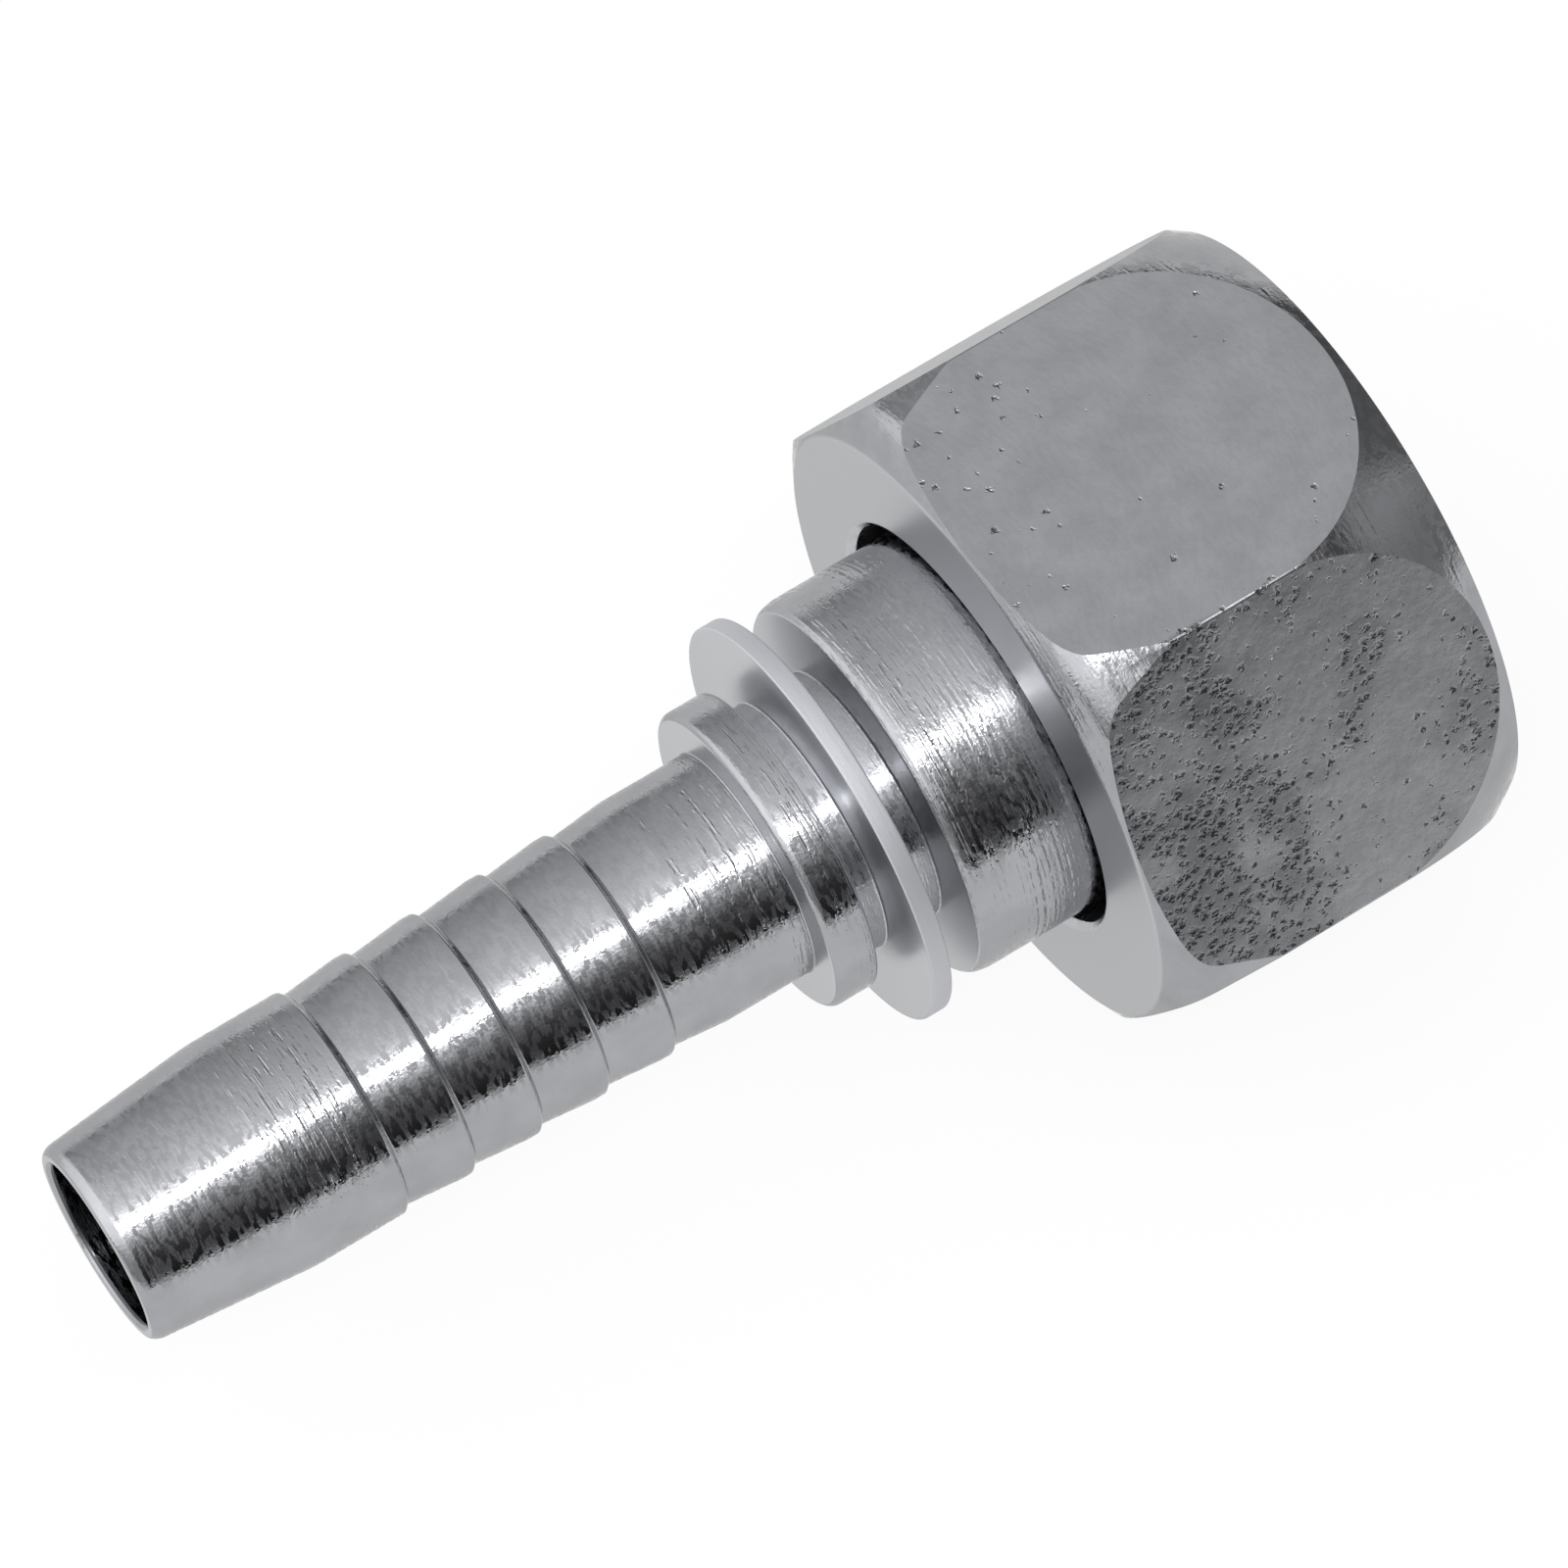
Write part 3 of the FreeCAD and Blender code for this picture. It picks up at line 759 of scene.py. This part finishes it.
nose = [(0.0, BORE + 0.17, 0.06), (0.0, 3.4, 0.12), (0.3, 3.57, 0.14), (5.75, TAIL, 0.3)]
barbs = []
for number in range(BARB_COUNT):
    crest = BARB_START + number * BARB_PITCH
    barbs.append((crest, TAIL, 0.05))
    barbs.append((crest + BARB_STEP, ROOT, 0.05))
    barbs.append((crest + BARB_PITCH - BARB_LAND, TAIL, 0.1))
shoulders = [
    (24.65, TAIL, 0.06), (24.65, COLLAR, 0.28), (26.2, COLLAR, 0.1), (26.2, NECK, 0.08),
    (27.15, NECK, 0.08), (27.15, FLANGE, 0.05), (27.85, FLANGE, 0.08), (27.85, NECK, 0.08),
    (29.25, NECK, 0.08), (29.25, 6.72, 0.05), (29.42, 6.86, 0.1), (29.85, SHANK, 0.2),
    (36.77, SHANK, 0.1),
]
head = [
    (37.82, HEAD, 0.1), (39.32, HEAD, 0.12), (39.32, 7.1, 0.06), (42.27, 6.473, 0.08),
    (42.27, GROOVE, 0.15), (44.17, GROOVE, 0.15), (44.17, 6.069, 0.08), (46.72, 5.527, 0.15),
    (46.72, BORE + 0.7, 0.08), (46.02, BORE, 0.1), (0.17, BORE, 0.08),
]
stem = turned("turned_stem", nose + barbs + shoulders + head)
dress(stem, stem_steel, "stem", "stem_steel", "hose_stem")

# %% [markdown]
# ## The union nut
#
# The nut is cut from hexagon bar. Its outside is a six-sided prism, and everything else on it
# is turned: a steep bevel behind, a long shallow taper that leaves curved edges on the flats,
# a rounded front, and the bore. So the prism is made first, its long edges are softened, and
# it keeps only what a turned ring has in common with it.

# %% Cut the nut
FLATS = 22.0
NUT_BACK, NUT_FRONT = 33.55, 47.65
CORNER_RADIUS = FLATS / 2 / math.cos(math.radians(30))
HEX_SOFT, HEX_SPARE = 0.07, 0.2
ROUND_START, ROUND_RADIUS, ROUND_PARTS = 41.3, 11.5, 12
BACK_HOLE, THREAD_CREST, THREAD_ROOT, RELIEF = 7.45, 8.19, 9.0, 9.15
# Between its two tapers the ring is wider than the prism's corners and cuts nothing off.
WIDEST = 12.86

front_round = []
for part in range(ROUND_PARTS + 1):
    share = part / ROUND_PARTS
    rise = (NUT_FRONT - ROUND_START) * share
    swing = math.asin(rise / ROUND_RADIUS)
    drop = ROUND_RADIUS * (1 - math.cos(swing))
    front_round.append((ROUND_START + rise, CORNER_RADIUS - drop, 0))
outside = [
    (NUT_BACK, 7.7, 0.1), (NUT_BACK, 10.85, 0.15), (34.27, 12.1, 0.6), (38.0, WIDEST, 0),
    (40.6, WIDEST, 0),
]
inside = [
    (NUT_FRONT, 9.2, 0.1), (NUT_FRONT - 0.2, THREAD_ROOT, 0.05), (40.6, THREAD_ROOT, 0.05),
    (40.5, RELIEF, 0.05), (37.94, RELIEF, 0.15), (37.94, THREAD_CREST, 0.05),
    (37.2, BACK_HOLE, 0.06), (NUT_BACK + 0.25, BACK_HOLE, 0.05),
]
nut_ring = turned("union_nut_ring", outside + front_round + inside)

clear_selection()
bpy.ops.mesh.primitive_cylinder_add(
    vertices=6, radius=CORNER_RADIUS * MM, depth=(NUT_FRONT - NUT_BACK + 2 * HEX_SPARE) * MM,
    location=place((NUT_BACK + NUT_FRONT) / 2, 0), rotation=(0, math.radians(90), 0))
nut = bpy.context.object
nut.name = "hexagon_union_nut"
bpy.ops.object.transform_apply(location=True, rotation=True, scale=True)
lowest = min(vertex.co.z for vertex in nut.data.vertices)
print("lowest point of the prism in mm:", round(lowest / MM, 3))

# %% [markdown]
# The prism's six long edges are picked by their length and get a narrow bevel, because drawn
# bar never has a knife edge. A boolean then keeps what prism and ring share, so the curved
# edges on the flats come out by themselves, as they do on the lathe.

# %% Soften the long edges and keep what both share
bpy.ops.object.mode_set(mode="EDIT")
bpy.ops.mesh.select_mode(type="EDGE")
bpy.ops.mesh.select_all(action="DESELECT")
bpy.ops.object.mode_set(mode="OBJECT")
for edge in nut.data.edges:
    ends = [nut.data.vertices[number].co for number in edge.vertices]
    edge.select = abs(ends[0].x - ends[1].x) > (NUT_FRONT - NUT_BACK) / 2 * MM
bpy.ops.object.mode_set(mode="EDIT")
bpy.ops.mesh.bevel(offset=HEX_SOFT * MM, segments=4)
bpy.ops.mesh.select_mode(type="VERT")
bpy.ops.object.mode_set(mode="OBJECT")
shared = nut.modifiers.new("shared", "BOOLEAN")
shared.operation = "INTERSECT"
shared.solver = "EXACT"
shared.object = nut_ring
bpy.ops.object.modifier_apply(modifier="shared")
bpy.data.objects.remove(nut_ring, do_unlink=True)
settle(nut)
weighted = nut.modifiers.new("weighted", "WEIGHTED_NORMAL")
weighted.keep_sharp = True
bpy.ops.object.modifier_apply(modifier="weighted")
dress(nut, nut_steel, "nut", "nut_steel", "union_nut")

# %% [markdown]
# ## The thread
#
# The nut has a fine metric thread, 18 mm across with a pitch of 1.5 mm. An inner thread is a
# ridge with 60 degree flanks that winds along the bore. The ridge's cross-section is drawn as
# an outline, and a screw modifier winds it. A turned sleeve then trims both ends, as the
# lathe's bevel does at the mouth.

# %% Wind the thread
PITCH = 1.5
FLANK_ANGLE = 60
RIDGE_FOOT, RIDGE_TOP = 9.08, THREAD_CREST
RIDGE_START, RIDGE_TURNS, WINDING_STEPS = 39.9, 6, 96

slope = math.tan(math.radians(FLANK_ANGLE / 2))
half_top = PITCH / 8
half_foot = half_top + (RIDGE_FOOT - RIDGE_TOP) * slope
ridge_outline = [
    (RIDGE_START - half_foot, RIDGE_FOOT), (RIDGE_START - half_top, RIDGE_TOP),
    (RIDGE_START + half_top, RIDGE_TOP), (RIDGE_START + half_foot, RIDGE_FOOT),
]
thread = chain_of_edges("nut_thread_ridge", ridge_outline)
clear_selection()
thread.select_set(True)
bpy.context.view_layer.objects.active = thread
bpy.ops.object.transform_apply(location=True)
bpy.context.scene.cursor.location = AXIS
bpy.ops.object.origin_set(type="ORIGIN_CURSOR")
winding = thread.modifiers.new("winding", "SCREW")
winding.axis = "X"
winding.angle = math.tau
winding.screw_offset = PITCH * MM
winding.iterations = RIDGE_TURNS
winding.steps = winding.render_steps = WINDING_STEPS
winding.use_merge_vertices = False
bpy.ops.object.modifier_apply(modifier="winding")
bpy.ops.object.mode_set(mode="EDIT")
bpy.ops.mesh.select_all(action="SELECT")
bpy.ops.mesh.fill_holes(sides=8)
bpy.ops.mesh.normals_make_consistent(inside=False)
clear_selection()
print("wound thread:", len(thread.data.polygons), "faces")

sleeve = turned("thread_sleeve", [
    (40.3, 9.6, 0), (NUT_FRONT, 9.6, 0), (NUT_FRONT, 9.15, 0), (46.69, 8.15, 0),
    (41.2, 8.15, 0), (40.3, 9.1, 0),
])
clear_selection()
thread.select_set(True)
bpy.context.view_layer.objects.active = thread
bpy.ops.object.transform_apply(location=True)
trimmed = thread.modifiers.new("trimmed", "BOOLEAN")
trimmed.operation = "INTERSECT"
trimmed.solver = "EXACT"
trimmed.object = sleeve
bpy.ops.object.modifier_apply(modifier="trimmed")
bpy.data.objects.remove(sleeve, do_unlink=True)
settle(thread)
dress(thread, nut_steel, "nut", "nut_steel")

# %% [markdown]
# ## The sealing ring
#
# The rubber ring sits in the groove of the cone and stands a little proud of it, so that
# the cone's seat squeezes it. It is moulded, with a plain round section, and that is what
# Blender's torus makes. The parting line of the mould is too thin to show.

# %% Mould the ring
RING_PLACE, RING_MIDDLE, RING_THICKNESS = 43.22, 5.95, 1.5
SEAL_SMOOTH_ANGLE = 40

clear_selection()
bpy.ops.mesh.primitive_torus_add(
    major_radius=RING_MIDDLE * MM, minor_radius=RING_THICKNESS / 2 * MM,
    major_segments=128, minor_segments=32,
    location=place(RING_PLACE, 0), rotation=(0, math.radians(90), 0))
seal = bpy.context.object
seal.name = "moulded_sealing_ring"
settle(seal, SEAL_SMOOTH_ANGLE)
dress(seal, ring_rubber, "stem", "ring_rubber", "seal_ring")

# %% [markdown]
# ## Finish
#
# A plain view keeps the white ground white and the greys of the zinc as they were mixed. The
# box around the finished pieces is written down beside the one from the CAD program, so the
# two sizes can be compared.

# %% Set the view
scene = bpy.context.scene
scene.view_settings.view_transform = "Standard"
